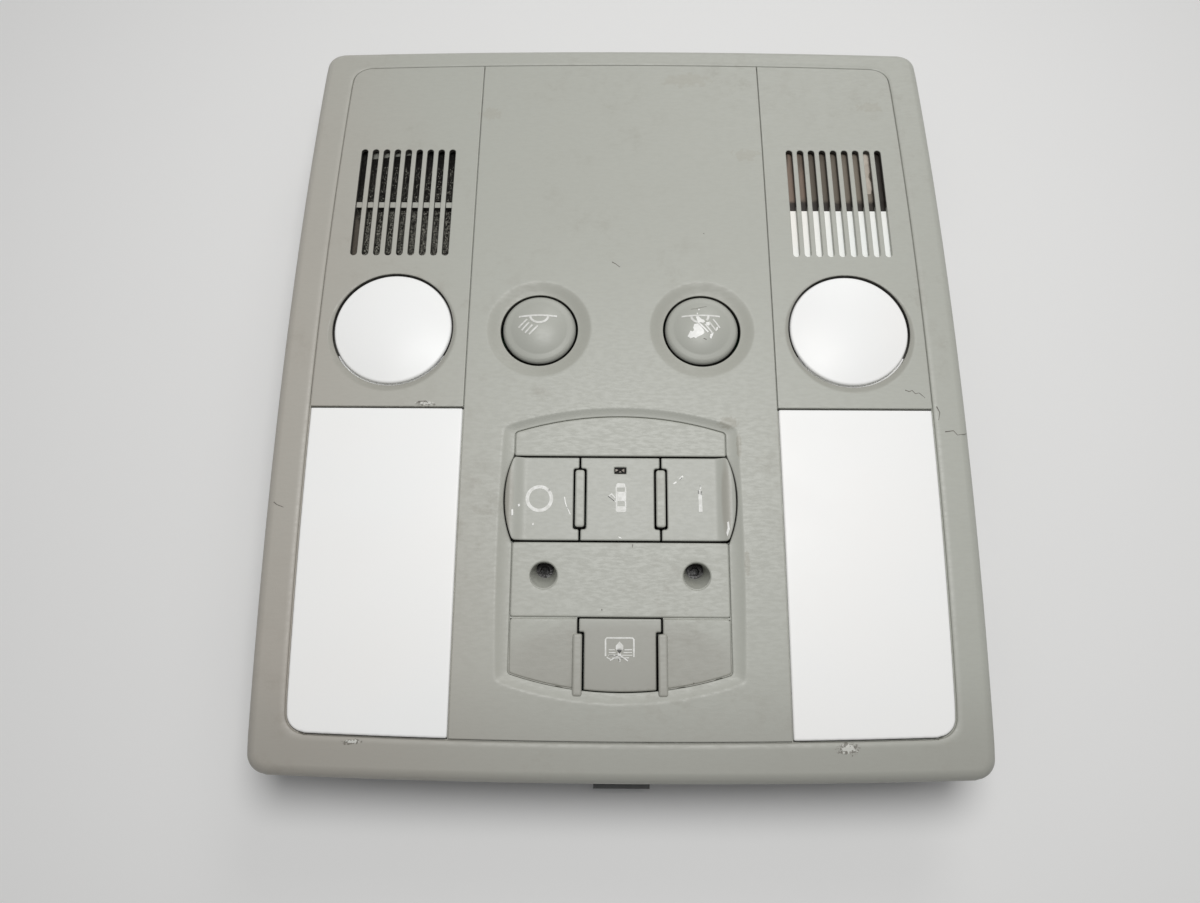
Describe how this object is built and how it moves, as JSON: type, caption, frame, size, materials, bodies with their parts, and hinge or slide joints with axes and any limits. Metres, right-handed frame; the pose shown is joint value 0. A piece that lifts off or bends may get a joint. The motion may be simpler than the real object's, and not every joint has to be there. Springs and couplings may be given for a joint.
{
  "type": "car dome light",
  "caption": "Arched overhead car lamp unit with rectangular and round opal lenses, push buttons, a recessed switch group and slotted grilles.",
  "frame": {"origin": "bottom centre of the bounding box, on the flat floor of the rear housing", "axes": "+X to the right and +Y up as the visible face is looked at, +Z out of the visible face"},
  "size_m": [0.2164, 0.2562, 0.0376],
  "materials": {
    "grey_shell": "fine grain",
    "grey_key": "satin",
    "opal_lens": "opal",
    "black_housing": "moulded",
    "white_inner": "reflecting",
    "clear_glass": "clear",
    "spring_metal": "plain",
    "board": "lacquered laminate",
    "black_parts": "moulded",
    "pin_brass": "plain",
    "foam": "open-cell foam",
    "sensor_brown": "worn",
    "dark_window": "smoked",
    "dark_screw": "black"
  },
  "bodies": {
    "console": {"outer_frame": "grey_shell", "centre_panel": "grey_shell", "left_side_panel": "grey_shell", "right_side_panel": "grey_shell", "left_lamp_lens": "opal_lens", "right_lamp_lens": "opal_lens", "left_reading_lens": "opal_lens", "right_reading_lens": "opal_lens", "switch_surround": "grey_shell", "rear_housing": "black_housing", "left_lamp_reflector": "white_inner", "right_lamp_reflector": "white_inner", "left_reading_reflector": "white_inner", "right_reading_reflector": "white_inner", "left_lamp_bulb": "clear_glass", "right_lamp_bulb": "clear_glass", "left_lamp_contacts": "spring_metal", "right_lamp_contacts": "spring_metal", "left_reading_bulb": "clear_glass", "right_reading_bulb": "clear_glass", "left_bulb_holder": "black_parts", "right_bulb_holder": "black_parts", "circuit_board": "board", "board_screws": "spring_metal", "left_reading_switch": "black_parts", "right_reading_switch": "black_parts", "off_switch": "black_parts", "door_switch": "black_parts", "on_switch": "black_parts", "blind_switch": "black_parts", "indicator_led": "white_inner", "wiring_socket": "black_parts", "socket_pins": "pin_brass", "microphone": "black_parts", "microphone_foam": "foam", "right_sensor": "sensor_brown", "right_grille_backing": "white_inner", "left_mounting_screw": "dark_screw", "right_mounting_screw": "dark_screw", "left_upper_clip": "spring_metal", "left_lower_clip": "spring_metal", "right_upper_clip": "spring_metal", "right_lower_clip": "spring_metal"},
    "left_button": {"left_reading_button": "grey_key"},
    "right_button": {"right_reading_button": "grey_key"},
    "off_key_body": {"off_key": "grey_key"},
    "door_key_body": {"door_key": "grey_key", "door_key_window": "dark_window"},
    "on_key_body": {"on_key": "grey_key"},
    "blind_key_body": {"blind_key": "grey_key"}
  },
  "joints": [
    {"name": "left_button_press", "type": "slide", "parent": "console", "child": "left_button", "axis": [0, 0, 1], "range_m": [-0.0013, 0], "stiffness_N_per_m": 900},
    {"name": "right_button_press", "type": "slide", "parent": "console", "child": "right_button", "axis": [0, 0, 1], "range_m": [-0.0013, 0], "stiffness_N_per_m": 900},
    {"name": "off_key_press", "type": "slide", "parent": "console", "child": "off_key_body", "axis": [0, -0.0391, 0.9992], "range_m": [-0.0013, 0], "stiffness_N_per_m": 900},
    {"name": "door_key_press", "type": "slide", "parent": "console", "child": "door_key_body", "axis": [0, -0.0391, 0.9992], "range_m": [-0.0013, 0], "stiffness_N_per_m": 900},
    {"name": "on_key_press", "type": "slide", "parent": "console", "child": "on_key_body", "axis": [0, -0.0391, 0.9992], "range_m": [-0.0013, 0], "stiffness_N_per_m": 900},
    {"name": "blind_key_press", "type": "slide", "parent": "console", "child": "blind_key_body", "axis": [0, -0.0391, 0.9992], "range_m": [-0.0013, 0], "stiffness_N_per_m": 900}
  ]
}
